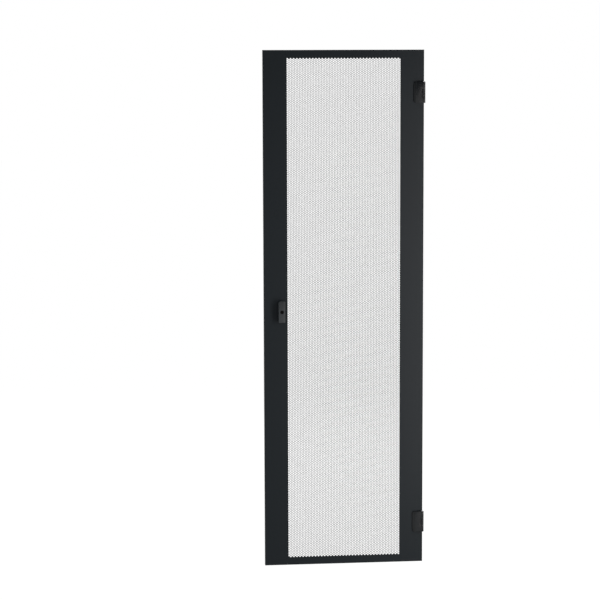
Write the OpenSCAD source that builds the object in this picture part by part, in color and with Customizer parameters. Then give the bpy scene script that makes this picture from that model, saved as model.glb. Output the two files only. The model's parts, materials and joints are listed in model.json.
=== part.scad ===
// Perforated front door for a 600 mm wide server rack: a folded sheet with a honeycomb field,
// a lockable wing handle that drives two locking rods, and two hinges with barrels.
// X runs across the door with the hinges at +X, the front faces -Y, and Z is up.
// Origin: middle of the lower hinge's screw holes, on the face that lies on the rack.

/* [Door sheet] */
// Width of the door
door_w = 592; // [560:1:800]
// Height of the door
door_h = 1910; // [1300:1:2100]
// Depth of the folded flanges, front face to rear face
door_d = 22; // [20:0.5:26]
// Thickness of the sheet
sheet_t = 1.25; // [1:0.05:1.5]
// Outer radius of the bends
bend_r = 2; // [1.8:0.1:4]
// Width of the lips at the rear
lip_w = 16; // [10:0.5:17]

/* [Perforated field] */
// Solid stile at each side of the field
side_margin = 87.6; // [87:0.1:110]
// Solid rail above and below the field
end_margin = 30.3; // [28:0.1:80]
// Pitch of the cells in a column
cell_pitch = 46.9; // [44:0.1:80]
// Web left between two cells
cell_web = 6.3; // [3:0.1:12]

/* [Stiffeners] */
// Depth of the hat channels
hat_d = 14; // [8:0.5:17]
// Width of the crown of the channel on the hinge side
hinge_hat_w = 22; // [16:0.5:24]
// Width of the crown of the channel on the lock side
lock_hat_w = 12; // [9:0.5:13]
// Width of each welded foot of the channels
hat_foot = 6; // [4:0.5:6.5]
// Distance from the hinge edge to the middle of its channel
hinge_hat_in = 57; // [54:0.5:62]
// Distance from the lock edge to the middle of its channel
lock_hat_in = 29; // [28:0.1:29.4]
// Distance from the channel ends to the door ends
hat_end_gap = 24; // [18:1:60]
// Radius of the holes in the channels
hat_hole_r = 3.5; // [2:0.1:4]
// Pitch of the holes in the channels
hat_hole_pitch = 100; // [50:5:200]

/* [Hinges] */
// Distance from each door end to the middle of a hinge
hinge_in = 155; // [120:1:300]
// Height of a hinge
hinge_h = 77; // [70:1:100]
// Outer radius of the barrel
barrel_r = 5.4; // [5:0.1:6]
// Radius of the hinge pin
pin_r = 2.5; // [2:0.1:3]
// Distance from the hinge edge of the door in to the pin axis
pin_in = 1.8; // [1:0.1:2.5]
// Distance from the front face out to the pin axis
pin_out = 8; // [7:0.1:10]
// Height of the middle knuckle, which belongs to the rack
knuckle_h = 26; // [18:1:36]
// Thickness of the washers between the knuckles
washer_t = 1; // [0.6:0.1:2]
// Thickness of the head of the pin
pin_head_t = 1.6; // [1:0.1:3]
// Reach of the door leaf from the pin axis
leaf_reach = 37.2; // [34:0.1:38]
// Height of the door leaf above the front face
leaf_t = 11.5; // [10:0.1:12]
// Height of the edge at the foot of the leaf's slope
leaf_edge_t = 3; // [2:0.1:5]
// Width of the slope at the free side of the leaf
leaf_slope = 9; // [4:0.5:14]
// Radius of the corners of the leaf
leaf_corner_r = 9; // [4:0.5:12]
// Distance between the two leaf screws
leaf_screw_pitch = 48; // [36:1:56]
// Distance from the pin axis to the leaf screws
leaf_screw_in = 20; // [17:0.5:21]
// Length of the leaf screws in the leaf
leaf_screw_l = 8; // [6:0.5:9]
// Radius of the leaf screws
leaf_screw_r = 2.5; // [2:0.1:2.8]
// Radius of the leaf screws' heads
leaf_head_r = 4.8; // [4:0.1:5.5]
// Thickness of the leaf screws' heads
leaf_head_t = 3; // [2:0.1:3.5]
// Width across the flats of the socket in a leaf screw's head
leaf_key_af = 3; // [2:0.1:4]
// Thickness of the arm of the rack leaf
arm_t = 3; // [2.5:0.1:3]
// Gap between the door edge and the arm
arm_gap = 0.6; // [0.4:0.1:1]
// Gap between the rear of the door and the foot
foot_gap = 0.8; // [0.5:0.1:2]
// Thickness of the foot that lies on the rack
foot_t = 4; // [3.5:0.1:6]
// Width of the foot
foot_w = 32; // [28:0.5:50]
// Distance from the outer side of the arm to the foot's screw holes
foot_hole_in = 20; // [14:0.5:21]
// Distance between the two screw holes of a foot
foot_hole_pitch = 50; // [36:1:60]
// Radius of the screw holes of a foot
foot_hole_r = 2.75; // [2:0.05:3]
// Radius of the countersinks of a foot
foot_sink_r = 5; // [4:0.1:5.2]

/* [Wing handle and key plug] */
// Distance from the lock edge to the lock axis
lock_in = 64.3; // [64:0.1:65]
// Height of the lock axis above the bottom of the door
lock_z = 955; // [600:1:1100]
// Length of the grip
grip_h = 80; // [60:1:100]
// Width of the grip
grip_w = 24.5; // [23.5:0.1:30]
// Distance from the door's front face to the crown of the grip
grip_out = 26; // [25:0.1:32]
// Finger gap between the door and the ends of the grip
grip_gap = 12; // [9:0.1:14]
// Radius of the arched front of the grip
grip_arch_r = 200; // [150:5:400]
// Radius of the large rounded corner of the grip
grip_corner_r = 8; // [4:0.5:10]
// Radius of the other corners of the grip
grip_small_r = 2.5; // [1:0.1:5]
// Radius of the key plug
plug_r = 6.6; // [5:0.1:7]
// Length of the key plug
plug_l = 8; // [5:0.1:8.5]
// Depth of the plug's face behind the crown of the grip
plug_in = 1.2; // [0.5:0.1:1.3]
// Length of the key slot
key_slot_l = 8; // [5:0.1:9]
// Width of the key slot
key_slot_w = 1.8; // [1:0.1:2.5]
// Depth of the key slot
key_slot_d = 4; // [2:0.1:4.5]

/* [Lock housing] */
// Radius of the housing's flange
housing_r = 12; // [11.5:0.1:12.2]
// Height of the housing above the front face
housing_out = 8; // [6:0.1:8.5]
// Thickness of the gasket
gasket_t = 0.8; // [0.4:0.1:1.5]
// Radius of the threaded barrel
thread_r = 10; // [8.5:0.1:10.3]
// Width across the flats of the fixing nut
nut_af = 26; // [23:0.5:27]
// Thickness of the fixing nut
nut_t = 5; // [3.5:0.1:5]

/* [Shaft and cam] */
// Radius of the round part of the shaft
shaft_r = 5.5; // [5:0.1:5.6]
// Side of the square ends of the shaft
shaft_sq = 7.5; // [6.5:0.1:7.6]
// Length of the shaft's square end in the grip
shaft_grip_l = 7; // [4:0.1:7.2]
// Distance from the rear of the door to the cam
cam_back = 6; // [4:0.5:12]
// Thickness of the cam
cam_t = 3; // [2:0.1:5]
// Length of the cam from the lock axis
cam_l = 40; // [26:1:48]
// Width of the cam
cam_w = 18; // [16:0.5:24]
// Outer radius of the spacer in front of the cam
spacer_r = 8; // [7:0.1:9]
// Radius of the cam screw
cam_screw_r = 3; // [2:0.1:3]
// Length of the cam screw in the shaft
cam_screw_l = 12; // [6:0.5:16]
// Width across the flats of the cam screw's head
cam_screw_af = 10; // [8:0.5:13]
// Thickness of the cam screw's head
cam_screw_head = 4; // [3:0.1:6]

/* [Rod gear] */
// Module of the gear teeth
gear_m = 1.5; // [1.4:0.01:1.52]
// Free play between the teeth
gear_play = 0.3; // [0.2:0.01:0.4]
// Gap between the fixing nut and the case
case_gap = 0.3; // [0.2:0.05:0.6]
// Thickness of the case walls
case_t = 1.5; // [1.2:0.1:1.8]
// Depth of the hollow of the case
case_hollow = 6; // [5.5:0.1:7]
// Half height of the case
case_half_h = 38; // [37:0.5:41]
// Thickness of the cover
cover_t = 2; // [1.5:0.1:2.5]
// Distance from the lock axis to the case's studs
stud_out = 29; // [27:0.5:31]
// Radius of the case's studs
stud_r = 2; // [1.5:0.1:2.5]
// Radius of the case's bosses
boss_r = 4.5; // [3.5:0.1:5]
// Height of the nuts on the studs
stud_nut_t = 3; // [2:0.1:4]
// Width across the flats of the nuts on the studs
stud_nut_af = 7; // [6:0.5:9]
// Thickness of the toothed slides
slide_t = 4.4; // [3.5:0.1:4.6]
// Width of the slides behind the teeth
slide_w = 6; // [5:0.1:6.4]

/* [Locking rods] */
// Width of a rod
rod_w = 8; // [6:0.1:8.2]
// Thickness of a rod
rod_t = 3; // [2.5:0.1:3.2]
// Length over which a rod lies on its slide
rod_lap = 22; // [14:1:40]
// Distance from the door's end to the tip of a rod
rod_end_gap = 35; // [22:1:80]
// Number of guides on each rod
guide_count = 3; // [2:1:5]
// Height of a guide
guide_h = 14; // [8:1:30]
// Wall of a guide
guide_wall = 1.5; // [1:0.1:1.6]
// Length of a rod's tip piece
tip_l = 34; // [26:1:50]
// Wall of the tip piece
tip_wall = 1.5; // [1:0.1:2]
// Depth of the rod in its tip piece
tip_socket = 18; // [10:1:22]
// Radius of the rod screws
rod_screw_r = 1.5; // [1:0.1:1.8]
// Radius of the rod screws' heads
rod_head_r = 2.5; // [2:0.1:2.9]

/* [Earthing point and buffers] */
// Radius of the earth stud
earth_r = 3; // [2:0.1:3]
// Length of the earth stud
earth_l = 14; // [12:0.5:17]
// Distance from the hinge edge to the earth stud
earth_in = 27; // [25.5:0.1:28]
// Height of the earth stud above the bottom of the door
earth_z = 80; // [50:1:100]
// Radius of the washer on the earth stud
earth_washer_r = 6; // [5.2:0.1:7]
// Width across the flats of the earth nut
earth_nut_af = 10; // [8:0.5:10]
// Thickness of the earth nut
earth_nut_t = 5; // [3:0.1:6]
// Radius of the rubber buffers
buffer_r = 6; // [4:0.1:6.5]
// Distance from the door's ends to the buffers
buffer_in = 60; // [30:1:90]

/* [Hidden] */

// Fits: a running fit for pins and shafts, a slip fit for pieces that slide or are assembled
run_fit = 0.05;
slip_fit = 0.3;
tight_fit = 0.05;
// Overshoot of every cut past the face that it starts from
over = 1;

// Directions in the door: edge of the lock side, edge of the hinge side
left_x = -door_w / 2;
right_x = door_w / 2;

// Hinges
pin_x = right_x - pin_in;
pin_y = -pin_out;
upper_hinge_z = door_h - hinge_in;
lower_hinge_z = hinge_in;
bore_r = pin_r + run_fit;
arm_x = right_x + arm_gap;
foot_y = door_d + foot_gap;
mount_x = arm_x + arm_t - foot_hole_in;
mount_y = foot_y + foot_t;
gap_h = knuckle_h + 2 * washer_t;

// Perforated field
field_w = door_w - 2 * side_margin;
field_h = door_h - 2 * end_margin;
cell_af = cell_pitch - cell_web;
cell_r = cell_af / sqrt(3);
cell_step = cell_pitch * sqrt(3) / 2;
cell_cols = floor((field_w - 2 * cell_r) / cell_step) + 1;
cell_rows = floor((field_h - cell_af - cell_pitch / 2) / cell_pitch) + 1;

// Lock stack, front to back
lock_x = left_x + lock_in;
grip_back = -housing_out - slip_fit;
plug_face = -grip_out + plug_in;
plug_back = plug_face + plug_l;
shaft_front = grip_back - shaft_grip_l;
nut_back = sheet_t + nut_t;
case_y = nut_back + case_gap;
hollow_y = case_y + case_t;
cover_y = hollow_y + case_hollow;
cover_back = cover_y + cover_t;
gear_y = hollow_y + slip_fit;
gear_back = cover_y - slip_fit;
cam_y = door_d + cam_back;
cam_rear = cam_y + cam_t;
cam_washer_t = 1;
cam_washer_r = cam_screw_af * 0.8;

// Gear: stub teeth, the pitch radius, and the slides that mesh with it
gear_teeth = 15;
pitch_r = gear_m * gear_teeth / 2;
tooth_pitch = PI * gear_m;
pressure_angle = 20;
base_r = pitch_r * cos(pressure_angle);
addendum = 0.8 * gear_m;
dedendum = 1.05 * gear_m;
tooth_half = (tooth_pitch - gear_play) / 4;
rod_travel = pitch_r * PI / 2;
slide_back = pitch_r + dedendum + slide_w;
slide_mid = pitch_r + dedendum + slide_w / 2;
case_in_w = slide_back + slip_fit;
case_out_w = case_in_w + case_t;
slide_y = hollow_y + (case_hollow - slide_t) / 2;

// Rods: each starts where its slide can still draw fully into the case
rod_start = case_half_h + rod_travel + 2;
slide_end = rod_start + rod_lap;
rod_y = slide_y - rod_t;
upper_rod_l = door_h - rod_end_gap - tip_l + tip_socket - lock_z - rod_start;
lower_rod_l = lock_z - rod_end_gap - tip_l + tip_socket - rod_start;

// ---------- helpers ----------

// Puts what was drawn from the door's bottom centre into the frame of the lower hinge's screws
module in_frame() {
    translate([-mount_x, -mount_y, -lower_hinge_z])
        children();
}

// Extrudes an outline drawn in X and Z from y0 to y1
module along_y(y0, y1) {
    translate([0, y1, 0])
        rotate([90, 0, 0])
            linear_extrude(y1 - y0)
                children();
}

// Extrudes an outline drawn in Y and Z from x0 to x1
module along_x(x0, x1) {
    translate([x0, 0, 0])
        rotate([90, 0, 90])
            linear_extrude(x1 - x0)
                children();
}

// Sides of a circle of radius r: few on screws, more on what is seen
function sides(r) = r < 3.5 ? 24 : 48;

// Round bar along Y
module bar_y(r, y0, y1) {
    translate([0, y1, 0])
        rotate([90, 0, 0])
            cylinder(r = r, h = y1 - y0, $fn = sides(r));
}

// Hexagon bar along Y, by its width across flats
module hex_y(af, y0, y1) {
    translate([0, y1, 0])
        rotate([90, 0, 0])
            cylinder(r = af / sqrt(3), h = y1 - y0, $fn = 6);
}

// Square bar along Y
module square_y(side, y0, y1) {
    translate([-side / 2, y0, -side / 2])
        cube([side, y1 - y0, side]);
}

// Outline from (-w/2, 0) to (w/2, d) whose two corners at y = 0 are rounded
module tray_outline(w, d, r) {
    translate([-w / 2, r])
        square([w, d - r]);
    translate([-w / 2 + r, 0])
        square([w - 2 * r, r + 0.01]);
    for (side = [-1, 1])
        translate([side * (w / 2 - r), r])
            circle(r = r, $fn = 24);
}

// Box with rounded front edges, as a folded tray has: w by h in front, d deep, standing on z0
module tray_block(w, h, d, r, z0) {
    intersection() {
        translate([0, 0, z0 - over])
            linear_extrude(h + 2 * over)
                tray_outline(w, d, r);
        translate([0, 0, z0 + h / 2])
            rotate([0, 90, 0])
                translate([0, 0, -w / 2 - over])
                    linear_extrude(w + 2 * over)
                        tray_outline(h, d, r);
    }
}

// ---------- door sheet ----------

// One cell of the honeycomb, cut through the front face
module cell() {
    hex_y(cell_af, -over, sheet_t + over);
}

// Staggered columns of cells, centred on the door
module cells() {
    for (col = [0 : cell_cols - 1])
        for (row = [0 : cell_rows - 1])
            translate([
                (col - (cell_cols - 1) / 2) * cell_step,
                0,
                door_h / 2 + (row - (cell_rows - 1) / 2) * cell_pitch
                    + (col % 2 == 0 ? 1 : -1) * cell_pitch / 4
            ])
                cell();
}

module door_sheet() {
    color([0.13, 0.14, 0.15])
        in_frame()
            difference() {
                tray_block(door_w, door_h, door_d, bend_r, 0);
                translate([0, sheet_t, 0])
                    tray_block(
                        door_w - 2 * sheet_t, door_h - 2 * sheet_t,
                        door_d - 2 * sheet_t, bend_r - sheet_t, sheet_t
                    );
                translate([left_x + lip_w, door_d - sheet_t - over, lip_w])
                    cube([door_w - 2 * lip_w, sheet_t + 2 * over, door_h - 2 * lip_w]);
                cells();
                translate([lock_x, 0, lock_z])
                    bar_y(thread_r + tight_fit, -over, sheet_t + over);
                for (z = [lower_hinge_z, upper_hinge_z])
                    leaf_screw_places(z)
                        bar_y(leaf_screw_r + 2 * tight_fit, -over, sheet_t + over);
            }
}

// ---------- stiffeners ----------

// Outline of a hat channel whose feet lie on y = 0
module hat_outline(crown) {
    half = crown / 2;
    polygon([
        [-half - hat_foot, 0],
        [-half + sheet_t, 0],
        [-half + sheet_t, hat_d - sheet_t],
        [half - sheet_t, hat_d - sheet_t],
        [half - sheet_t, 0],
        [half + hat_foot, 0],
        [half + hat_foot, sheet_t],
        [half, sheet_t],
        [half, hat_d],
        [-half, hat_d],
        [-half, sheet_t],
        [-half - hat_foot, sheet_t]
    ]);
}

module stiffener(x, crown) {
    length = door_h - 2 * hat_end_gap;
    holes = floor((length - hat_hole_pitch) / hat_hole_pitch);
    in_frame()
        translate([x, sheet_t, hat_end_gap])
            difference() {
                linear_extrude(length)
                    hat_outline(crown);
                for (i = [0 : holes])
                    translate([0, 0, length / 2 + (i - holes / 2) * hat_hole_pitch])
                        bar_y(hat_hole_r, hat_d - sheet_t - over, hat_d + over);
            }
}

module lock_side_stiffener() {
    color([0.16, 0.17, 0.18])
        stiffener(left_x + lock_hat_in, lock_hat_w);
}

module hinge_side_stiffener() {
    color([0.16, 0.17, 0.18])
        stiffener(right_x - hinge_hat_in, hinge_hat_w);
}

// ---------- hinges ----------

// Places children at the two screws that hold the leaf of the hinge at height z
module leaf_screw_places(z) {
    for (side = [-1, 1])
        translate([pin_x - leaf_screw_in, 0, z + side * leaf_screw_pitch / 2])
            children();
}

// Outline of the door leaf seen from above, with the pin axis at the origin
module leaf_section() {
    top = pin_out - leaf_t;
    polygon([
        [-leaf_reach, pin_out],
        [-leaf_reach, pin_out - leaf_edge_t],
        [-leaf_reach + leaf_slope, top],
        [0, top],
        [0, pin_out - barrel_r / 2],
        [-barrel_r / 2, pin_out]
    ]);
    circle(r = barrel_r, $fn = 64);
}

// Front outline of the door leaf: corners rounded on the free side only
module leaf_front() {
    translate([-leaf_reach + leaf_corner_r, -hinge_h / 2])
        square([leaf_reach + 2 * barrel_r, hinge_h]);
    translate([-leaf_reach, -hinge_h / 2 + leaf_corner_r])
        square([leaf_corner_r + 0.01, hinge_h - 2 * leaf_corner_r]);
    for (side = [-1, 1])
        translate([-leaf_reach + leaf_corner_r, side * (hinge_h / 2 - leaf_corner_r)])
            circle(r = leaf_corner_r, $fn = 48);
}

module door_leaf(z) {
    room = barrel_r + slip_fit + 0.2;
    in_frame()
        difference() {
            translate([pin_x, pin_y, z])
                difference() {
                    intersection() {
                        translate([0, 0, -hinge_h / 2])
                            linear_extrude(hinge_h)
                                leaf_section();
                        along_y(-2 * pin_out, 2 * pin_out)
                            leaf_front();
                    }
                    translate([-room, -pin_out - over, -gap_h / 2])
                        cube([3 * room, 3 * pin_out, gap_h]);
                    translate([0, 0, -hinge_h])
                        cylinder(r = bore_r, h = 2 * hinge_h, $fn = 48);
                }
            leaf_screw_places(z)
                bar_y(leaf_screw_r + tight_fit, -leaf_screw_l - tight_fit, over);
        }
}

module upper_door_leaf() {
    color([0.11, 0.12, 0.13])
        door_leaf(upper_hinge_z);
}

module lower_door_leaf() {
    color([0.11, 0.12, 0.13])
        door_leaf(lower_hinge_z);
}

// Pan-head screws from inside the door into the leaf
module leaf_screws(z) {
    in_frame()
        leaf_screw_places(z)
            difference() {
                union() {
                    bar_y(leaf_screw_r, -leaf_screw_l, sheet_t);
                    bar_y(leaf_head_r, sheet_t, sheet_t + leaf_head_t);
                }
                hex_y(leaf_key_af, sheet_t + leaf_head_t / 2, sheet_t + leaf_head_t + over);
            }
}

module upper_leaf_screws() {
    color("silver")
        leaf_screws(upper_hinge_z);
}

module lower_leaf_screws() {
    color("silver")
        leaf_screws(lower_hinge_z);
}

// Middle knuckle, an arm past the door's edge, and a foot with two countersunk holes
module rack_leaf(z) {
    arm_end = mount_y;
    in_frame()
        difference() {
            union() {
                translate([pin_x, pin_y, z - knuckle_h / 2])
                    cylinder(r = barrel_r, h = knuckle_h, $fn = 64);
                translate([arm_x, pin_y, z - knuckle_h / 2])
                    cube([arm_t, arm_end - pin_y, knuckle_h]);
                translate([arm_x + arm_t - foot_w, foot_y, z - hinge_h / 2])
                    cube([foot_w, foot_t, hinge_h]);
            }
            translate([pin_x, pin_y, z - knuckle_h])
                cylinder(r = bore_r, h = 2 * knuckle_h, $fn = 48);
            for (side = [-1, 1])
                translate([mount_x, 0, z + side * foot_hole_pitch / 2]) {
                    bar_y(foot_hole_r, foot_y - over, mount_y + over);
                    translate([0, foot_y, 0])
                        rotate([-90, 0, 0])
                            cylinder(
                                r1 = foot_sink_r, r2 = foot_hole_r,
                                h = foot_sink_r - foot_hole_r, $fn = 64
                            );
                }
        }
}

module upper_rack_leaf() {
    color([0.12, 0.13, 0.14])
        rack_leaf(upper_hinge_z);
}

module lower_rack_leaf() {
    color([0.12, 0.13, 0.14])
        rack_leaf(lower_hinge_z);
}

// Headed pin that runs through all three knuckles
module hinge_pin(z) {
    in_frame()
        translate([pin_x, pin_y, z]) {
            translate([0, 0, -hinge_h / 2])
                cylinder(r = pin_r, h = hinge_h + slip_fit, $fn = 48);
            translate([0, 0, hinge_h / 2 + slip_fit])
                cylinder(r = barrel_r * 0.8, h = pin_head_t, $fn = 48);
        }
}

module upper_hinge_pin() {
    color("silver")
        hinge_pin(upper_hinge_z);
}

module lower_hinge_pin() {
    color("silver")
        hinge_pin(lower_hinge_z);
}

// Two washers, one at each end of the middle knuckle
module hinge_washers(z) {
    in_frame()
        for (side = [-1, 1])
            translate([pin_x, pin_y, z + side * (knuckle_h + washer_t) / 2])
                difference() {
                    cylinder(r = barrel_r, h = washer_t, center = true, $fn = 64);
                    cylinder(r = bore_r, h = 2 * washer_t, center = true, $fn = 48);
                }
}

module upper_hinge_washers() {
    color("dimgray")
        hinge_washers(upper_hinge_z);
}

module lower_hinge_washers() {
    color("dimgray")
        hinge_washers(lower_hinge_z);
}

// ---------- wing handle, key plug and housing ----------

// Places children on the lock axis
module at_lock() {
    in_frame()
        translate([lock_x, 0, lock_z])
            children();
}

// One corner of the grip's outline: the quarter between the corner and its rounding
module grip_corner(sx, sz, r) {
    translate([sx * (grip_w / 2 - r), sz * (grip_h / 2 - r)])
        difference() {
            translate([sx > 0 ? 0 : -r - over, sz > 0 ? 0 : -r - over])
                square(r + over);
            circle(r = r, $fn = 48);
        }
}

module grip_outline() {
    difference() {
        square([grip_w, grip_h], center = true);
        grip_corner(-1, 1, grip_corner_r);
        grip_corner(1, 1, grip_small_r);
        grip_corner(-1, -1, grip_small_r);
        grip_corner(1, -1, grip_small_r);
    }
}

module wing_handle() {
    color([0.2, 0.21, 0.22])
        at_lock()
            difference() {
                union() {
                    intersection() {
                        along_y(-grip_out - over, -grip_gap)
                            grip_outline();
                        translate([-grip_w, grip_arch_r - grip_out, 0])
                            rotate([0, 90, 0])
                                cylinder(r = grip_arch_r, h = 2 * grip_w, $fn = 128);
                    }
                    bar_y(housing_r, -grip_gap - over, grip_back);
                }
                bar_y(plug_r + run_fit, -grip_out - over, plug_back);
                square_y(shaft_sq + 2 * tight_fit, shaft_front, grip_back + over);
            }
}

module key_plug() {
    color([0.08, 0.08, 0.09])
        at_lock()
            difference() {
                bar_y(plug_r, plug_face, plug_back);
                translate([-key_slot_w / 2, plug_face - over, -key_slot_l / 2])
                    cube([key_slot_w, key_slot_d + over, key_slot_l]);
            }
}

module lock_housing() {
    color([0.1, 0.1, 0.11])
        at_lock()
            difference() {
                union() {
                    bar_y(housing_r, -housing_out, -gasket_t);
                    bar_y(thread_r, -gasket_t, nut_back);
                }
                bar_y(shaft_r + run_fit, -housing_out - over, nut_back + over);
            }
}

module housing_gasket() {
    color([0.05, 0.05, 0.05])
        at_lock()
            difference() {
                bar_y(housing_r, -gasket_t, 0);
                bar_y(thread_r + tight_fit, -gasket_t - over, over);
            }
}

module fixing_nut() {
    color("silver")
        at_lock()
            difference() {
                hex_y(nut_af, sheet_t, nut_back);
                bar_y(thread_r + tight_fit, 0, nut_back + over);
            }
}

// ---------- shaft and cam ----------

module drive_shaft() {
    color("silver")
        at_lock()
            difference() {
                union() {
                    square_y(shaft_sq, shaft_front, grip_back);
                    bar_y(shaft_r, grip_back, gear_y);
                    square_y(shaft_sq, gear_y, cam_rear);
                }
                bar_y(cam_screw_r + tight_fit, cam_rear - cam_screw_l - over, cam_rear + over);
            }
}

module cam_spacer() {
    color("gray")
        at_lock()
            difference() {
                bar_y(spacer_r, gear_back, cam_y);
                square_y(shaft_sq + 2 * tight_fit, gear_back - over, cam_y + over);
            }
}

// Tongue that points at the lock edge when the door is locked
module latch_cam() {
    color("silver")
        at_lock()
            difference() {
                along_y(cam_y, cam_rear) {
                    circle(r = cam_w / 2, $fn = 64);
                    translate([-cam_l + cam_w / 4, -cam_w / 2])
                        square([cam_l - cam_w / 4, cam_w]);
                    translate([-cam_l, -cam_w / 4])
                        square([cam_l, cam_w / 2]);
                    for (side = [-1, 1])
                        translate([-cam_l + cam_w / 4, side * cam_w / 4])
                            circle(r = cam_w / 4, $fn = 48);
                }
                square_y(shaft_sq + 2 * tight_fit, cam_y - over, cam_rear + over);
            }
}

module cam_washer() {
    color("gainsboro")
        at_lock()
            difference() {
                bar_y(cam_washer_r, cam_rear, cam_rear + cam_washer_t);
                bar_y(cam_screw_r + tight_fit, cam_rear - over, cam_rear + cam_washer_t + over);
            }
}

module cam_screw() {
    head_y = cam_rear + cam_washer_t;
    color("gainsboro")
        at_lock() {
            bar_y(cam_screw_r, cam_rear - cam_screw_l, head_y);
            hex_y(cam_screw_af, head_y, head_y + cam_screw_head);
        }
}

// ---------- rod gear ----------

// Angle in degrees by which an involute has turned at radius r
function involute_deg(r) =
    let (a = acos(min(1, base_r / r)))
    tan(a) * 180 / PI - a;

// Half the angle that a tooth takes up at radius r
function tooth_half_deg(r) =
    tooth_half / pitch_r * 180 / PI + involute_deg(pitch_r) - involute_deg(max(r, base_r));

// Flank radii of a tooth from root to tip
flank_steps = 4;
function flank_r(i) =
    i == 0 ? pitch_r - dedendum : base_r + (pitch_r + addendum - base_r) * (i - 1) / flank_steps;

module pinion_outline() {
    polygon([
        for (tooth = [0 : gear_teeth - 1])
            for (side = [-1, 1])
                for (i = [0 : flank_steps + 1])
                    let (
                        step = side < 0 ? i : flank_steps + 1 - i,
                        r = flank_r(step),
                        a = tooth * 360 / gear_teeth + side * tooth_half_deg(r)
                    )
                    [r * cos(a), r * sin(a)]
    ]);
}

module pinion() {
    color("goldenrod")
        at_lock()
            difference() {
                along_y(gear_y, gear_back)
                    pinion_outline();
                square_y(shaft_sq + 2 * tight_fit, gear_y - over, gear_back + over);
            }
}

// Half the height of a slide's tooth at depth d in from the pitch line
function rack_half(d) = tooth_half + d * tan(pressure_angle);

// Toothed slide on the +X side of the pinion that leaves the case upwards; its teeth stand at
// whole pitches plus the phase
module slide_outline(phase, first, last) {
    root_x = pitch_r + dedendum;
    tip_x = pitch_r - addendum;
    polygon(concat(
        [[slide_back, tooth_pitch * (first + phase - 0.5)], [slide_back, slide_end], [root_x, slide_end]],
        [
            for (k = [last : -1 : first])
                for (point = [[root_x, 1], [tip_x, 1], [tip_x, -1], [root_x, -1]])
                    [
                        point[0],
                        tooth_pitch * (k + phase) + point[1] * rack_half(point[0] - pitch_r)
                    ]
        ],
        [[root_x, tooth_pitch * (first + phase - 0.5)]]
    ));
}

module slide(phase, first, last) {
    difference() {
        along_y(slide_y, slide_y + slide_t)
            slide_outline(phase, first, last);
        translate([slide_mid, 0, rod_start + rod_lap / 2])
            bar_y(rod_screw_r + tight_fit, slide_y - over, slide_y + slide_t + over);
    }
}

module upper_slide() {
    color("darkgray")
        at_lock()
            slide(0.5, -2, 5);
}

module lower_slide() {
    color("darkgray")
        at_lock()
            rotate([0, 180, 0])
                slide(0, -2, 5);
}

// Places children on the slide's side of the lock: 1 is the upper rod, -1 the lower rod
module at_rod(side) {
    at_lock()
        rotate([0, side > 0 ? 0 : 180, 0])
            children();
}

module gearbox_case() {
    color([0.35, 0.36, 0.38])
        at_lock()
            difference() {
                union() {
                    difference() {
                        along_y(case_y, cover_y)
                            square([2 * case_out_w, 2 * case_half_h], center = true);
                        along_y(hollow_y, cover_y + over)
                            square([2 * case_in_w, 2 * (case_half_h - case_t)], center = true);
                        for (turn = [0, 180])
                            rotate([0, turn, 0])
                                translate([
                                    pitch_r + dedendum - slip_fit,
                                    slide_y - slip_fit,
                                    case_half_h - case_t - over
                                ])
                                    cube([
                                        slide_w + 2 * slip_fit,
                                        case_hollow + over,
                                        case_t + 2 * over
                                    ]);
                    }
                    for (side = [-1, 1])
                        translate([0, 0, side * stud_out])
                            bar_y(boss_r, sheet_t, cover_y);
                }
                bar_y(shaft_r + slip_fit, case_y - over, hollow_y + over);
                for (side = [-1, 1])
                    translate([0, 0, side * stud_out])
                        bar_y(stud_r + tight_fit, 0, cover_y + over);
            }
}

module gearbox_cover() {
    color([0.6, 0.61, 0.62])
        at_lock()
            difference() {
                along_y(cover_y, cover_back)
                    square([2 * case_out_w, 2 * case_half_h], center = true);
                bar_y(spacer_r + slip_fit, cover_y - over, cover_back + over);
                for (side = [-1, 1])
                    translate([0, 0, side * stud_out])
                        bar_y(stud_r + tight_fit, cover_y - over, cover_back + over);
            }
}

module gearbox_studs() {
    color("silver")
        at_lock()
            for (side = [-1, 1])
                translate([0, 0, side * stud_out])
                    bar_y(stud_r, sheet_t, cover_back + stud_nut_t + stud_r / 2);
}

module gearbox_nuts() {
    color("gainsboro")
        at_lock()
            for (side = [-1, 1])
                translate([0, 0, side * stud_out])
                    difference() {
                        hex_y(stud_nut_af, cover_back, cover_back + stud_nut_t);
                        bar_y(stud_r + tight_fit, cover_back - over, cover_back + stud_nut_t + over);
                    }
}

// ---------- locking rods ----------

module rod(side, length) {
    at_rod(side)
        difference() {
            translate([slide_mid - rod_w / 2, rod_y, rod_start])
                cube([rod_w, rod_t, length]);
            translate([slide_mid, 0, rod_start + rod_lap / 2])
                bar_y(rod_screw_r + tight_fit, rod_y - over, slide_y + over);
        }
}

module upper_rod() {
    color("silver")
        rod(1, upper_rod_l);
}

module lower_rod() {
    color("silver")
        rod(-1, lower_rod_l);
}

module rod_screw(side) {
    head_y = slide_y + slide_t;
    at_rod(side)
        translate([slide_mid, 0, rod_start + rod_lap / 2]) {
            bar_y(rod_screw_r, rod_y, head_y);
            bar_y(rod_head_r, head_y, head_y + rod_screw_r);
        }
}

module upper_rod_screw() {
    color("gainsboro")
        rod_screw(1);
}

module lower_rod_screw() {
    color("gainsboro")
        rod_screw(-1);
}

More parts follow.
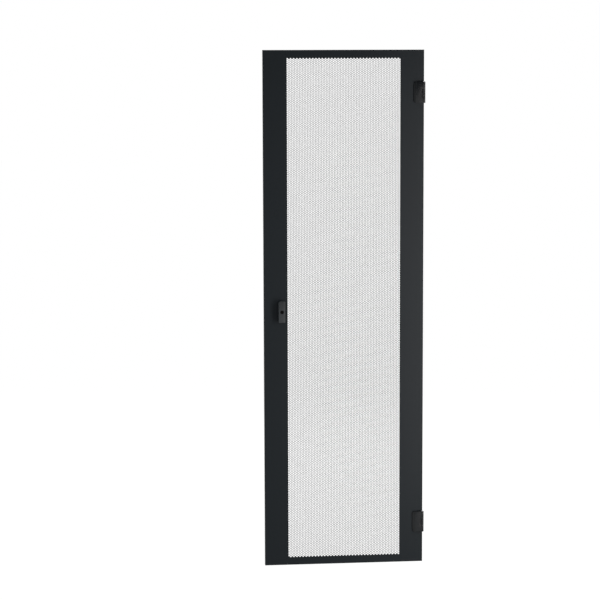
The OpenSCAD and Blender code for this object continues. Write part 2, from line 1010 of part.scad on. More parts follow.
// Tapered tip with a socket for the end of the rod
module rod_tip(side, length) {
    base = rod_start + length - tip_socket;
    front = rod_y - tip_wall;
    back = rod_y + rod_t + tip_wall;
    half_w = rod_w / 2 + tip_wall;
    at_rod(side)
        difference() {
            along_x(slide_mid - half_w, slide_mid + half_w)
                polygon([
                    [front, base],
                    [back, base],
                    [back, base + tip_l - (back - front)],
                    [front + (back - front) / 2, base + tip_l],
                    [front, base + tip_l]
                ]);
            translate([slide_mid - rod_w / 2 - tight_fit, rod_y - tight_fit, base - over])
                cube([
                    rod_w + 2 * tight_fit, rod_t + 2 * tight_fit,
                    tip_socket + tight_fit + over
                ]);
        }
}

module upper_rod_tip() {
    color([0.15, 0.15, 0.16])
        rod_tip(1, upper_rod_l);
}

module lower_rod_tip() {
    color([0.15, 0.15, 0.16])
        rod_tip(-1, lower_rod_l);
}

// Guides that stand on the sheet, spread between the slide's end and the rod's tip
module rod_guides(side, length) {
    first = slide_end + rod_travel + guide_h;
    last = rod_start + length - tip_socket - rod_travel - 2 * guide_h;
    half_w = rod_w / 2 + slip_fit + guide_wall;
    at_rod(side)
        for (i = [0 : guide_count - 1])
            translate([slide_mid, 0, first + (last - first) * i / (guide_count - 1)])
                difference() {
                    translate([-half_w, sheet_t, 0])
                        cube([2 * half_w, rod_y + rod_t + slip_fit + guide_wall - sheet_t, guide_h]);
                    translate([-rod_w / 2 - slip_fit, rod_y - slip_fit, -over])
                        cube([rod_w + 2 * slip_fit, rod_t + 2 * slip_fit, guide_h + 2 * over]);
                }
}

module upper_rod_guides() {
    color([0.1, 0.1, 0.11])
        rod_guides(1, upper_rod_l);
}

module lower_rod_guides() {
    color([0.1, 0.1, 0.11])
        rod_guides(-1, lower_rod_l);
}

// ---------- earthing point and buffers ----------

module at_earth() {
    in_frame()
        translate([right_x - earth_in, 0, earth_z])
            children();
}

module earth_stud() {
    color("silver")
        at_earth()
            bar_y(earth_r, sheet_t, sheet_t + earth_l);
}

module earth_washer() {
    color("gainsboro")
        at_earth()
            difference() {
                bar_y(earth_washer_r, sheet_t, 2 * sheet_t);
                bar_y(earth_r + tight_fit, 0, 2 * sheet_t + over);
            }
}

module earth_nut() {
    color("gainsboro")
        at_earth()
            difference() {
                hex_y(earth_nut_af, 2 * sheet_t, 2 * sheet_t + earth_nut_t);
                bar_y(earth_r + tight_fit, 0, 2 * sheet_t + earth_nut_t + over);
            }
}

// Round buffers on the rear lips, as thick as the space left to the rack
module rubber_buffers() {
    color([0.05, 0.05, 0.05])
        in_frame()
            for (z = [
                buffer_in,
                door_h / 2 - 2 * buffer_in,
                door_h / 2 + 2 * buffer_in,
                door_h - buffer_in
            ])
                translate([left_x + lip_w / 2, 0, z])
                    bar_y(buffer_r, door_d, mount_y);
}

// ---------- drawing ----------

door_sheet();
lock_side_stiffener();
hinge_side_stiffener();
upper_door_leaf();
lower_door_leaf();
upper_leaf_screws();
lower_leaf_screws();
upper_rack_leaf();
lower_rack_leaf();
upper_hinge_pin();
lower_hinge_pin();
upper_hinge_washers();
lower_hinge_washers();
wing_handle();
key_plug();
lock_housing();
housing_gasket();
fixing_nut();
drive_shaft();
pinion();
cam_spacer();
latch_cam();
cam_washer();
cam_screw();
gearbox_case();
gearbox_cover();
gearbox_studs();
gearbox_nuts();
upper_slide();
lower_slide();
upper_rod();
lower_rod();
upper_rod_screw();
lower_rod_screw();
upper_rod_tip();
lower_rod_tip();
upper_rod_guides();
lower_rod_guides();
earth_stud();
earth_washer();
earth_nut();
rubber_buffers();
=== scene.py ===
# %% [markdown]
# # A perforated rack door
# A rack door is one black sheet, folded into a shallow tray and punched with thousands of
# hexagonal holes. A wing handle sits on one stile and two barrel hinges on the other edge. The
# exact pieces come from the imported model, and this lesson dresses them: the real perforation,
# rounded castings, and a finish for every metal and plastic.

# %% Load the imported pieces
import json
import math

import bmesh
import bpy
import numpy as np
from mathutils import Matrix, Vector


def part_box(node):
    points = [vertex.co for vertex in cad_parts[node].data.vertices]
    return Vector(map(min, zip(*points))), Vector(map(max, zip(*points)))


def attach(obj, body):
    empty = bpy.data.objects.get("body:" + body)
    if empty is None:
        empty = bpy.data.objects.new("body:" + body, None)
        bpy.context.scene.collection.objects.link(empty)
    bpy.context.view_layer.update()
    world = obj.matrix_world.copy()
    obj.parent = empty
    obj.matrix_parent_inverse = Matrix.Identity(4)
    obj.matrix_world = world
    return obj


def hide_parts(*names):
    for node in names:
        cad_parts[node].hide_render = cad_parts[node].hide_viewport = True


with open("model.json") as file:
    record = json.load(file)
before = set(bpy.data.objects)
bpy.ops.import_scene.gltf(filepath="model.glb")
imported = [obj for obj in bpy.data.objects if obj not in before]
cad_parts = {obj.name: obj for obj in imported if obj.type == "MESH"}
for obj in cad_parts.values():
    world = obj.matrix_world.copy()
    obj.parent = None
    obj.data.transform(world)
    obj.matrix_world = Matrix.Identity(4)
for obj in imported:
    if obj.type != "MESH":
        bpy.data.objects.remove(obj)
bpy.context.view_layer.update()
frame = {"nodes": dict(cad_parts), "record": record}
NODES = frame["nodes"]
MM = 0.001

# %% [markdown]
# ## Where things are
# Every place is read from the imported pieces, so the dressing follows them: the sheet gives the
# outline of the door, and the key plug the axis of the lock.

# %% Measure the door


def node_box(node):
    """Lowest and highest corner of a node as two arrays, in metres."""
    low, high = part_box(node)
    return np.array(low), np.array(high)


def box_middle(node):
    """The middle of a node's box: half the sum of its two corners."""
    low, high = node_box(node)
    return (low + high) / 2


SHEET_LOW, SHEET_HIGH = node_box("door_sheet")
DOOR_W, DOOR_D, DOOR_H = SHEET_HIGH - SHEET_LOW
MIDDLE_X, _, MIDDLE_Z = (SHEET_LOW + SHEET_HIGH) / 2
FRONT_Y = SHEET_LOW[1]
LOCK = box_middle("key_plug")
print("door in mm", (DOOR_W / MM).round(1), (DOOR_H / MM).round(1), (DOOR_D / MM).round(1))

# %% [markdown]
# ## Camera
# The door is seen from a little to its left and above its middle, through a long lens, so its
# edges stay nearly parallel. Three turns aim the camera: a trace of roll about its own axis, a
# tilt down from level, and a turn towards the door.

# %% Place the camera
CAMERA_LEFT, CAMERA_AWAY, CAMERA_UP = 912.5 * MM, 7313.9 * MM, 1888.7 * MM
CAMERA_TURN, CAMERA_TILT, CAMERA_ROLL = 5.853, 6.918, -0.186
LENS_MM = 120.74


def turn(degrees, axis):
    """A turn about one axis as a 4 by 4 matrix."""
    return Matrix.Rotation(math.radians(degrees), 4, axis)


camera_data = bpy.data.cameras.new("camera")
camera_data.lens = LENS_MM
camera = bpy.data.objects.new("camera", camera_data)
bpy.context.scene.collection.objects.link(camera)
camera.matrix_world = (
    Matrix.Translation((MIDDLE_X - CAMERA_LEFT, FRONT_Y - CAMERA_AWAY, SHEET_LOW[2] + CAMERA_UP))
    @ turn(-CAMERA_TURN, "Z")
    @ turn(90 - CAMERA_TILT, "X")
    @ turn(CAMERA_ROLL, "Z")
)
bpy.context.scene.camera = camera
bpy.context.scene.view_settings.view_transform = "Standard"
print("camera at", [round(v, 3) for v in camera.location])

# %% [markdown]
# ## Shader maths
# A finish is a small graph of nodes. Two classes keep it readable. `Graph` adds any node with
# one method, and `Wire` stands for a socket, on which plain Python arithmetic adds Math nodes.

# %% Wires and graphs


class Wire:
    """One output socket. Arithmetic on it adds a Math node and gives that node's output."""

    def __init__(self, graph, socket):
        self.graph, self.socket = graph, socket

    def _math(self, operation, first, second):
        return self.graph.add("ShaderNodeMath", {"operation": operation}, {0: first, 1: second})

    def __add__(self, other):
        return self._math("ADD", self, other)

    __radd__ = __add__

    def __sub__(self, other):
        return self._math("SUBTRACT", self, other)

    def __rsub__(self, other):
        return self._math("SUBTRACT", other, self)

    def __mul__(self, other):
        return self._math("MULTIPLY", self, other)

    __rmul__ = __mul__


class Graph:
    """The nodes of one material or world, which grow by one method, add."""

    def __init__(self, owner):
        owner.use_nodes = True
        self.owner, self.tree = owner, owner.node_tree
        self.tree.nodes.clear()

    def add(self, kind, settings=None, inputs=None, output=0):
        """Adds a node: its settings first, then a value or a Wire for each input."""
        node = self.tree.nodes.new(kind)
        for name, value in (settings or {}).items():
            setattr(node, name, value)
        for name, value in (inputs or {}).items():
            socket = node.inputs[name]
            if isinstance(value, Wire):
                self.tree.links.new(value.socket, socket)
            else:
                socket.default_value = value
        return Wire(self, node.outputs[output]) if len(node.outputs) else node


print("graph helpers ready")

# %% [markdown]
# ## Studio
# Black paint shows what stands around it, so the studio matters as much as the paint. The world
# is white behind the door and dim in front of it, one soft lamp stands low at the right, and
# the pale floor shows white to the camera while it keeps the door's shadow.

# %% World
WORLD_FRONT, WORLD_BACK, WORLD_FILL = 0.0, 1.0, 0.55


def ray_kinds(g):
    """The Light Path outputs for camera, glossy and transmission rays, 1 for such a ray."""
    rays = g.add("ShaderNodeLightPath").socket.node.outputs
    return [Wire(g, rays[kind + " Ray"]) for kind in ("Is Camera", "Is Glossy", "Is Transmission")]



world = bpy.data.worlds.new("studio")
bpy.context.scene.world = world
g = Graph(world)
direction = g.add("ShaderNodeTexCoord", output="Generated")
toward_back = g.add("ShaderNodeSeparateXYZ", inputs={0: direction}, output="Y")
shine = g.add(
    "ShaderNodeMapRange",
    {"interpolation_type": "SMOOTHSTEP"},
    {
        "Value": toward_back, "From Min": -0.5, "From Max": 0.3,
        "To Min": WORLD_FRONT, "To Max": WORLD_BACK,
    },
)
is_camera, is_glossy, is_clear = ray_kinds(g)
is_fill = 1 - is_camera - is_glossy - is_clear
level = is_camera + (is_glossy + is_clear) * shine + is_fill * WORLD_FILL
background = g.add("ShaderNodeBackground", inputs={"Color": (1, 1, 1, 1), "Strength": level})
g.add("ShaderNodeOutputWorld", inputs={"Surface": background})
print("world levels", WORLD_FRONT, WORLD_BACK, WORLD_FILL)

# %% Lamps
LAMPS = {
    # name: (place from the middle of the door's foot, size across and up, watts, tint, aim)
    "key_soft": ((0.95, -1.20, 0.86), (0.5, 1.9), 29.0, (1.0, 0.92, 0.89), (0.25, 0.0, 0.90)),
    "fill_soft": ((-1.9, -2.6, 1.6), (1.6, 1.6), 16.0, (1, 1, 1), (0.0, 0.0, 0.95)),
    "back_soft": ((0.5, 2.8, 2.6), (2.0, 2.0), 60.0, (1, 1, 1), (0.0, 0.0, 0.95)),
}


def add_lamp(name, place, size, watts, tint, aim):
    """A rectangular area lamp that looks at its aim point."""
    data = bpy.data.lights.new(name, "AREA")
    data.shape, data.size, data.size_y, data.energy = "RECTANGLE", size[0], size[1], watts
    data.color = tint
    lamp = bpy.data.objects.new(name, data)
    lamp.visible_camera = False
    bpy.context.scene.collection.objects.link(lamp)
    base = np.array((MIDDLE_X, FRONT_Y, SHEET_LOW[2]))
    lamp.location = base + place
    lamp.rotation_euler = Vector(np.array(aim) - np.array(place)).to_track_quat("-Z", "Y").to_euler()
    return lamp


for name, settings in LAMPS.items():
    add_lamp(name, *settings)
print("lamps", list(LAMPS))

# %% Floor
FLOOR_DROP, FLOOR_HALF = 70 * MM, 30.0
FLOOR_GLOW, FLOOR_PAINT = 0.945, 0.10

floor_mesh = bpy.data.meshes.new("floor")
x0, y0, z0 = MIDDLE_X, FRONT_Y, SHEET_LOW[2] - FLOOR_DROP
CORNERS = ((-1, -1), (1, -1), (1, 1), (-1, 1))
corners = [(x0 + i * FLOOR_HALF, y0 + j * FLOOR_HALF, z0) for i, j in CORNERS]
floor_mesh.from_pydata(corners, [], [(0, 1, 2, 3)])
floor = bpy.data.objects.new("floor", floor_mesh)
bpy.context.scene.collection.objects.link(floor)
g = Graph(bpy.data.materials.new("floor_paper"))
glow = g.add("ShaderNodeEmission", inputs={"Strength": sum(ray_kinds(g)) * FLOOR_GLOW})
paper = g.add("ShaderNodeBsdfDiffuse", inputs={"Color": (FLOOR_PAINT, FLOOR_PAINT, FLOOR_PAINT, 1)})
both = g.add("ShaderNodeAddShader", inputs={0: glow, 1: paper})
g.add("ShaderNodeOutputMaterial", inputs={"Surface": both})
floor_mesh.materials.append(g.owner)
print("floor at", round(z0, 3), "metres")

# %% [markdown]
# ## Finishes
# Each finish is a Principled shader with a grain that is measured in object space: orange peel
# in the powder coat, a spark-eroded grain on the plastics, drawn streaks on the zinc. What is
# the same all over a surface stays a plain number on the shader.

# %% A finish with a grain


def grain(g, size_mm, detail=2.0, stretch=(1, 1, 1)):
    """Noise between 0 and 1 whose lumps are about size_mm across, stretched along the axes."""
    place = g.add("ShaderNodeTexCoord", output="Object")
    place = g.add("ShaderNodeMapping", inputs={"Vector": place, "Scale": stretch})
    scale = 0.5 / (size_mm * MM)
    return g.add("ShaderNodeTexNoise", inputs={"Vector": place, "Scale": scale, "Detail": detail})


def finish(name, color, rough, metal=0.0, specular=0.5, grain_mm=1.0, bump_mm=0.01, vary=0.06,
           stretch=(1, 1, 1)):
    """A Principled material: colour and roughness vary with a coarse noise, and a fine one bumps."""
    g = Graph(bpy.data.materials.new(name))
    coarse = grain(g, 60 * grain_mm, 3.0, stretch)
    fine = grain(g, grain_mm, 2.0, stretch)
    dark, light = (tuple(c * k for c in color) + (1,) for k in (1 - vary, 1 + vary))
    tint = g.add("ShaderNodeMix", {"data_type": "RGBA"}, {0: coarse, 6: dark, 7: light}, output=2)
    bump = g.add("ShaderNodeBump", inputs={"Height": fine, "Strength": 1.0, "Distance": bump_mm * MM})
    shader = g.add("ShaderNodeBsdfPrincipled", inputs={
        "Base Color": tint, "Roughness": rough - vary + 2 * vary * coarse, "Metallic": metal,
        "Specular IOR Level": specular, "Normal": bump,
    })
    g.add("ShaderNodeOutputMaterial", inputs={"Surface": shader})
    return g.owner


FINISHES = {
    "sheet_black": finish(
        "powder_coat", (0.0073, 0.0106, 0.0132), 0.44, specular=0.15,
        grain_mm=0.9, bump_mm=0.012, vary=0.02,
    ),
    "cast_black": finish(
        "coated_casting", (0.0050, 0.0065, 0.0078), 0.26, specular=0.25,
        grain_mm=0.7, bump_mm=0.01, vary=0.03,
    ),
    "grip_black": finish(
        "grip_plastic", (0.019, 0.023, 0.026), 0.42, specular=0.35,
        grain_mm=0.25, bump_mm=0.01, vary=0.03,
    ),
    "plug_black": finish(
        "plug_coat", (0.002, 0.002, 0.002), 0.5, specular=0.05,
        grain_mm=0.3, bump_mm=0.004,
    ),
    "black_plastic": finish("moulded_plastic", (0.020, 0.021, 0.022), 0.5, grain_mm=0.3, bump_mm=0.01),
    "washer_nylon": finish("nylon", (0.05, 0.05, 0.05), 0.5, grain_mm=0.3, bump_mm=0.005),
    "rubber": finish(
        "black_rubber", (0.014, 0.014, 0.014), 0.8, specular=0.3,
        grain_mm=0.2, bump_mm=0.01,
    ),
    "zinc_steel": finish("zinc_plate", (0.36, 0.37, 0.39), 0.38, metal=1.0, grain_mm=0.5, bump_mm=0.004,
                         stretch=(1, 1, 0.1)),
    "cast_zinc": finish("bare_casting", (0.26, 0.27, 0.28), 0.5, metal=1.0, grain_mm=0.6, bump_mm=0.02),
    "gear_brass": finish(
        "sintered_bronze", (0.55, 0.40, 0.20), 0.42, metal=1.0,
        grain_mm=0.2, bump_mm=0.01,
    ),
}
for part in frame["record"]["subparts"]:
    mesh = NODES[part["node"]].data
    mesh.materials.clear()
    mesh.materials.append(FINISHES[part["material_slot"]])
print("finishes", len(FINISHES))

# %% [markdown]
# ## Surfaces from arrays
# A new piece is a set of points and faces worked out with numpy. `add_piece` puts them into a
# mesh at the origin, gives it its finish, makes it ride with its body and hides the imported
# node it stands for.

# %% Put arrays into a mesh


def add_piece(name, points, faces, body, slot, stands_for, smooth_deg=None):
    """Makes one closed mesh from points in metres and faces of point numbers."""
    mesh = bpy.data.meshes.new(name)
    mesh.from_pydata(np.asarray(points).tolist(), [], [np.asarray(f).tolist() for f in faces])
    mesh.validate()
    if smooth_deg is not None:
        mesh.shade_smooth()
        mesh.set_sharp_from_angle(angle=math.radians(smooth_deg))
    mesh.materials.append(FINISHES[slot])
    piece = bpy.data.objects.new(name, mesh)
    bpy.context.scene.collection.objects.link(piece)
    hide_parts(*stands_for)
    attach(piece, body)
    return piece


def count_triangles(mesh):
    """Triangles of a mesh: a face with n corners makes n - 2."""
    sizes = np.zeros(len(mesh.polygons), dtype=int)
    mesh.polygons.foreach_get("loop_total", sizes)
    return int((sizes - 2).sum())


print("mesh helpers ready")

# %% [markdown]
# ## The perforation
# The holes are hexagons in upright columns, and every other column is raised by half a pitch,
# which leaves a web of the same width everywhere. Around each hole lies its own hexagonal cell,
# and cells share their corners. A ring of quads joins each cell to its hole on the front, one on
# the back, and six walls line the hole. Round the field the outermost corners are carried out
# to a straight rim, where the folded sheet takes over. The field is cut into bands of rows.

# %% Lay out the holes
HOLE_PITCH, HOLE_AF = 6.7 * MM, 5.7 * MM
COLUMNS, ROWS, BANDS = 72, 276, 4
SHEET_T = 1.25 * MM
COLUMN_STEP = HOLE_PITCH * math.sqrt(3) / 2
CELL_R, HOLE_R = HOLE_PITCH / math.sqrt(3), HOLE_AF / math.sqrt(3)
FIELD_RIM = 0.6 * MM
HALF_W = (COLUMNS - 1) / 2 * COLUMN_STEP + CELL_R + FIELD_RIM
HALF_H = (ROWS - 1) / 2 * HOLE_PITCH + 3 / 4 * HOLE_PITCH + FIELD_RIM
print("rim of the field in mm", round(2 * HALF_W / MM, 1), "by", round(2 * HALF_H / MM, 1))

# %% Cells and holes of a band


def hexagon(radius):
    """Corners at radius (cos a, sin a) for a = 0, 60 ... 300 degrees, anticlockwise."""
    a = np.arange(6) * math.pi / 3
    return radius * np.stack([np.cos(a), np.sin(a)], axis=1)


def share_corners(corners):
    """Gives equal corners one number: places are rounded to a micrometre and made unique."""
    keys = np.round(corners / 1e-6).astype(np.int64)
    _, first, number = np.unique(keys, axis=0, return_index=True, return_inverse=True)
    return corners[first], number.reshape(-1)


def band_plan(first_row, last_row):
    """Flat plan of some rows: places, rings of quads, hole corners, and cell edges used once.

    A cell's centre is x = (column - 35.5) step, z = (row - 137.5) pitch, a quarter pitch higher
    in even columns and as much lower in odd ones.
    """
    column, row = np.meshgrid(np.arange(COLUMNS), np.arange(first_row, last_row), indexing="ij")
    x = (column - (COLUMNS - 1) / 2) * COLUMN_STEP
    z = (row - (ROWS - 1) / 2 + np.where(column % 2 == 0, 0.25, -0.25)) * HOLE_PITCH
    centre = np.stack([x.ravel(), z.ravel()], axis=1)[:, None]
    corners, number = share_corners((centre + hexagon(CELL_R)).reshape(-1, 2))
    cell = number.reshape(-1, 6)
    hole = len(corners) + np.arange(cell.size).reshape(-1, 6)
    after = np.roll(np.arange(6), -1)
    rings = np.stack([cell, cell[:, after], hole[:, after], hole], axis=2).reshape(-1, 4)
    edges = np.stack([cell, cell[:, after]], axis=2).reshape(-1, 2)
    _, first, uses = np.unique(np.sort(edges, axis=1), axis=0, return_index=True, return_counts=True)
    places = np.concatenate([corners, (centre + hexagon(HOLE_R)).reshape(-1, 2)])
    return places, rings, hole, edges[first[uses == 1]]


print("cells in a band", COLUMNS * ROWS // BANDS)

# %% [markdown]
# ## From a flat plan to a plate
# The outermost cells end in a zigzag, but the folded sheet ends in a straight line. Each
# outermost edge is joined to its shadow on that line. Then the plan is doubled at the sheet's
# thickness, and every edge that belongs to one face only gets a wall, which closes the plate.

# %% Rim and thickness of a band


def carry_out(places, rings, edges):
    """Adds the straight rim: a quad from each outermost cell edge to its shadow on the rim.

    The sides are found by where an edge's middle lies. A shadow moves only along X at the left
    and right, only along Z at the bottom and top. The rim's own corners are closed afterwards by
    fill_corners.
    """
    middle = places[edges].mean(axis=1)
    near = CELL_R + FIELD_RIM
    at_x = np.abs(middle[:, 0]) > HALF_W - near
    at_z = (np.abs(middle[:, 1]) > HALF_H - HOLE_PITCH) & ~at_x
    points, quads = [places], [rings]
    count = len(places)
    for chosen, axis, half in ((at_x, 0, HALF_W), (at_z, 1, HALF_H)):
        for sign in (-1, 1):
            edge = edges[chosen & (np.sign(middle[:, axis]) == sign)]
            corner, number = np.unique(edge, return_inverse=True)
            shadow = places[corner].copy()
            shadow[:, axis] = sign * half
            far = count + number.reshape(edge.shape)
            quads.append(np.stack([edge[:, 1], edge[:, 0], far[:, 0], far[:, 1]], axis=1))
            points.append(shadow)
            count += len(shadow)
    return np.concatenate(points), np.concatenate(quads)


def fill_corners(places, quads):
    """Closes the rim's four corners where they belong to this band."""
    for sx in (-1, 1):
        for sz in (-1, 1):
            on_x = np.flatnonzero(np.isclose(places[:, 0], sx * HALF_W))
            on_z = np.flatnonzero(np.isclose(places[:, 1], sz * HALF_H))
            if len(on_x) == 0 or len(on_z) == 0:
                continue
            a = on_x[np.argmax(sz * places[on_x, 1])]
            b = on_z[np.argmax(sx * places[on_z, 0])]
            joint = np.array([places[b, 0], places[a, 1]])
            c = np.argmin(np.linalg.norm(places - joint, axis=1))
            places = np.vstack([places, [sx * HALF_W, sz * HALF_H]])
            corner = [c, b, len(places) - 1, a] if sx * sz < 0 else [c, a, len(places) - 1, b]
            quads = np.vstack([quads, corner])
    return places, quads


def thicken(places, quads, holes):
    """Closed plate from a flat plan: front, back, and walls at the holes and open edges."""
    back = len(places)
    after = np.roll(np.arange(6), -1)
    wall = np.stack([holes, holes + back, holes[:, after] + back, holes[:, after]], axis=2).reshape(-1, 4)
    edges = np.stack([quads, np.roll(quads, -1, axis=1)], axis=2).reshape(-1, 2)
    _, first, uses = np.unique(np.sort(edges, axis=1), axis=0, return_index=True, return_counts=True)
    open_edge = edges[first[uses == 1]]
    inner = np.isin(open_edge, holes).all(axis=1)
    rim = open_edge[~inner]
    rim_wall = np.stack([rim[:, 1], rim[:, 0], rim[:, 0] + back, rim[:, 1] + back], axis=1)
    points = np.zeros((2 * back, 3))
    points[:, 0] = MIDDLE_X + np.tile(places[:, 0], 2)
    points[:, 1] = np.repeat([FRONT_Y, FRONT_Y + SHEET_T], back)
    points[:, 2] = MIDDLE_Z + np.tile(places[:, 1], 2)
    return points, np.concatenate([quads, quads[:, ::-1] + back, wall, rim_wall])


for band in range(BANDS):
    places, rings, holes, edges = band_plan(band * ROWS // BANDS, (band + 1) * ROWS // BANDS)
    places, quads = fill_corners(*carry_out(places, rings, edges))
    name = f"perforated_band_{band + 1}"
    piece = add_piece(name, *thicken(places, quads, holes), "door", "sheet_black", ["door_sheet"])
    print(name, "triangles", count_triangles(piece.data))

# %% [markdown]
# ## The folded tray
# Front, sides and lips are one closed profile, swept round the door with mitred corners. It
# starts at the rim of the field, runs out over the bend to the side, over the second bend to
# the lip, and comes back along the inside. The bends are shaded smooth and the flats flat.

# %% Profile of the tray
BEND_R, LIP_W, BEND_STEPS = 2.0 * MM, 16 * MM, 8


def arc(centre, radius, start, end, steps=BEND_STEPS):
    """Points centre + radius (cos a, sin a), with a from start to end in degrees."""
    a = np.radians(np.linspace(start, end, steps + 1))
    return np.array(centre) + radius * np.stack([np.cos(a), np.sin(a)], axis=1)


def tray_profile():
    """Rows of (distance in from the edge, depth from the front), all round the bent sheet."""
    r, t, d = BEND_R, SHEET_T, DOOR_D
    outside = np.concatenate([arc((r, r), r, 270, 180), arc((r, d - r), r, 180, 90)])
    inside = np.concatenate([arc((r, d - r), r - t, 90, 180), arc((r, r), r - t, 180, 270)])
    return outside, np.array([[LIP_W, d], [LIP_W, d - t]]), inside


print("profile points", 2 + sum(len(run) for run in tray_profile()))

# %% [markdown]
# ## Sweep and lock hole
# A sweep with mitred corners needs only four points for each point of the profile. The stile at
# the lock side has a round hole for the lock's threaded barrel, so its flat faces are fans of
# triangles between the hole and the corners, which stay flat and therefore shade cleanly.

# %% Sweep it round the door
LOCK_HOLE_R, LOCK_HOLE_STEPS = 10.05 * MM, 64


def sweep_tray():
    """Rings of four corners, one ring for each profile point, joined by quads.

    A corner of a ring stands at x = +-(half width - inset), z = +-(half height - inset). The
    first and last ring are the rim of the field on the front and on the back.
    """
    outside, lip, inside = tray_profile()
    body = np.concatenate([outside, lip, inside])
    half = np.array([DOOR_W, DOOR_H]) / 2
    reach = half[None] - body[:, :1]
    reach = np.concatenate([[[HALF_W, HALF_H]], reach, [[HALF_W, HALF_H]]])
    depth = np.concatenate([[0], body[:, 1], [SHEET_T]])
    sign = np.array(CORNERS)
    flat = reach[:, None] * sign[None]
    points = np.zeros((len(reach), 4, 3))
    points[..., 0] = MIDDLE_X + flat[..., 0]
    points[..., 1] = FRONT_Y + depth[:, None]
    points[..., 2] = MIDDLE_Z + flat[..., 1]
    ring = np.arange(len(reach))[:, None]
    side = np.arange(4)[None]
    after_ring, after_side = (ring + 1) % len(reach), (side + 1) % 4
    here, there = 4 * ring, 4 * after_ring
    quads = np.stack([here + side, there + side, there + after_side, here + after_side], axis=2)
    return points.reshape(-1, 3), quads


def ring_to_quad(quad, circle):
    """Triangles of a flat quad with a round hole in it.

    The circle starts at angle 0 and its quarters look at the quad's corners in turn, so each
    corner fans out to its quarter, and one triangle closes each side.
    """
    steps = len(circle)
    quarter = steps // 4
    faces = []
    for k in range(4):
        span = [circle[(k * quarter + i) % steps] for i in range(quarter + 1)]
        faces += [(quad[k], span[i + 1], span[i]) for i in range(quarter)]
        faces.append((quad[k], quad[(k + 1) % 4], span[-1]))
    return faces


points, quads = sweep_tray()
arc_rings = np.zeros(len(quads), dtype=bool)
arc_rings[1:1 + BEND_STEPS] = arc_rings[2 + BEND_STEPS:2 + 2 * BEND_STEPS] = True
arc_rings[-2 - 2 * BEND_STEPS - 1:-2 - BEND_STEPS - 1] = arc_rings[-2 - BEND_STEPS:-2] = True
angle = np.arange(LOCK_HOLE_STEPS) * 2 * math.pi / LOCK_HOLE_STEPS
hole = np.zeros((2, LOCK_HOLE_STEPS, 3))
hole[..., 0] = LOCK[0] + LOCK_HOLE_R * np.cos(angle)
hole[..., 1] = FRONT_Y + np.array([[0], [SHEET_T]])
hole[..., 2] = LOCK[2] + LOCK_HOLE_R * np.sin(angle)
first = len(points)
front_circle = first + np.arange(LOCK_HOLE_STEPS)
back_circle = front_circle + LOCK_HOLE_STEPS
points = np.concatenate([points, hole.reshape(-1, 3)])


def facing(quad, circle, backwards):
    """Turns a quad's corner order to upper right, upper left, lower left, lower right."""
    centre = points[list(quad)].mean(axis=0)
    a = [math.atan2(points[c][2] - centre[2], points[c][0] - centre[0]) % (2 * math.pi) for c in quad]
    order = [quad[k] for k in np.argsort(a)]
    faces = ring_to_quad(order, list(circle))
    return [tuple(reversed(f)) for f in faces] if backwards else faces


faces, smooth = [], []
for ring in range(len(quads)):
    for side in range(4):
        if side == 3 and ring in (0, len(quads) - 2):
            circle, behind = (front_circle, False) if ring == 0 else (back_circle, True)
            pieces = facing(quads[ring, side], circle, behind)
        else:
            pieces = [tuple(quads[ring, side])]
        faces += pieces
        smooth += [bool(arc_rings[ring])] * len(pieces)
for i in range(LOCK_HOLE_STEPS):
    j = (i + 1) % LOCK_HOLE_STEPS
    faces.append((front_circle[i], front_circle[j], back_circle[j], back_circle[i]))
    smooth.append(True)
tray = add_piece("folded_tray", points, faces, "door", "sheet_black", ["door_sheet"])
tray.data.polygons.foreach_set("use_smooth", smooth)
print("folded_tray triangles", count_triangles(tray.data))

# %% [markdown]
# ## Cast and moulded pieces
# The grip and the hinge leaves come out of moulds, so their edges are round. Each is a copy of
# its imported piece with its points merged, its coplanar faces joined, and its outer edges
# rounded. Edges that lie on the sheet stay sharp, and so do the edges of sockets and bores.

# %% Round the outer edges


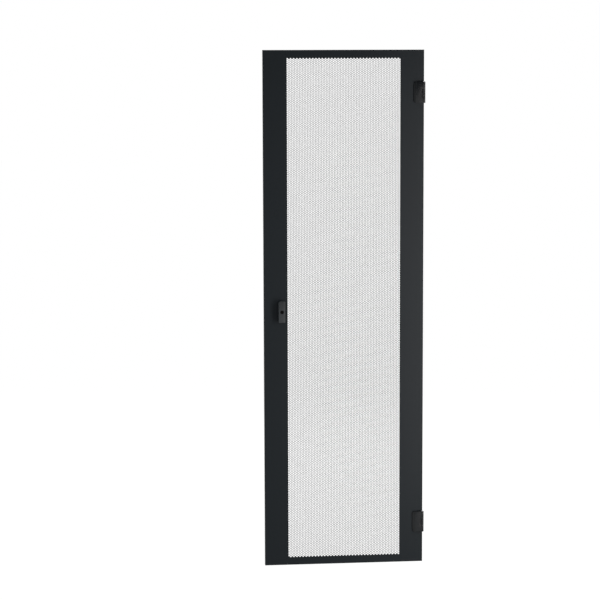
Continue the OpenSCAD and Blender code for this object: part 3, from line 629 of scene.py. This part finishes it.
def outer_edges(mesh, least_deg, keep):
    """Convex edges that turn by more than least_deg, if keep(both ends in metres) holds."""
    least = math.radians(least_deg)
    found = []
    for edge in mesh.edges:
        if len(edge.link_faces) != 2 or not edge.is_convex or edge.calc_face_angle(0) < least:
            continue
        if keep(*(np.array(v.co) for v in edge.verts)):
            found.append(edge)
    return found


def rounded_copy(node, name, radius_mm, keep, least_deg=30, steps=4):
    """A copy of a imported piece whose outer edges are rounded."""
    work = bmesh.new()
    work.from_mesh(NODES[node].data)
    bmesh.ops.remove_doubles(work, verts=work.verts, dist=1e-6)
    bmesh.ops.dissolve_limit(work, angle_limit=math.radians(0.5), verts=work.verts, edges=work.edges)
    bmesh.ops.bevel(
        work, geom=outer_edges(work, least_deg, keep), offset=radius_mm * MM, offset_type="OFFSET",
        segments=steps, profile=0.5, affect="EDGES", clamp_overlap=False,
    )
    bmesh.ops.triangulate(work, faces=[f for f in work.faces if len(f.verts) > 4])
    points = [tuple(v.co) for v in work.verts]
    work.verts.index_update()
    faces = [[v.index for v in f.verts] for f in work.faces]
    work.free()
    part = next(p for p in frame["record"]["subparts"] if p["node"] == node)
    bodies = frame["record"]["behaviour"]["bodies"]
    body = next(b for b, nodes in bodies.items() if node in nodes)
    return add_piece(name, points, faces, body, part["material_slot"], [node], smooth_deg=32)


GRIP_ROUND_DEPTH, KEY_CLEARANCE, SHEET_CLEARANCE = 15 * MM, 7.5 * MM, 0.05 * MM


def grip_edge(a, b):
    """Edges of the grip's front and sides, in front of its underside and away from the key."""
    out = max(a[1], b[1]) < node_box("wing_handle")[0][1] + GRIP_ROUND_DEPTH
    key = min(np.hypot(*(v - LOCK)[[0, 2]]) for v in (a, b)) > KEY_CLEARANCE
    return out and key


def leaf_edge(a, b):
    """Edges of a leaf that are clear of the sheet's front face."""
    near, far = max(a[1], b[1]), min(a[1], b[1])
    return far < FRONT_Y - 4 * SHEET_CLEARANCE and near < FRONT_Y - SHEET_CLEARANCE


grip = rounded_copy("wing_handle", "rounded_grip", 1.6, grip_edge)
print(grip.name, count_triangles(grip.data))
for place in ("upper", "lower"):
    leaf = rounded_copy(f"{place}_door_leaf", f"{place}_cast_leaf", 0.7, leaf_edge, 25)
    print(leaf.name, count_triangles(leaf.data))
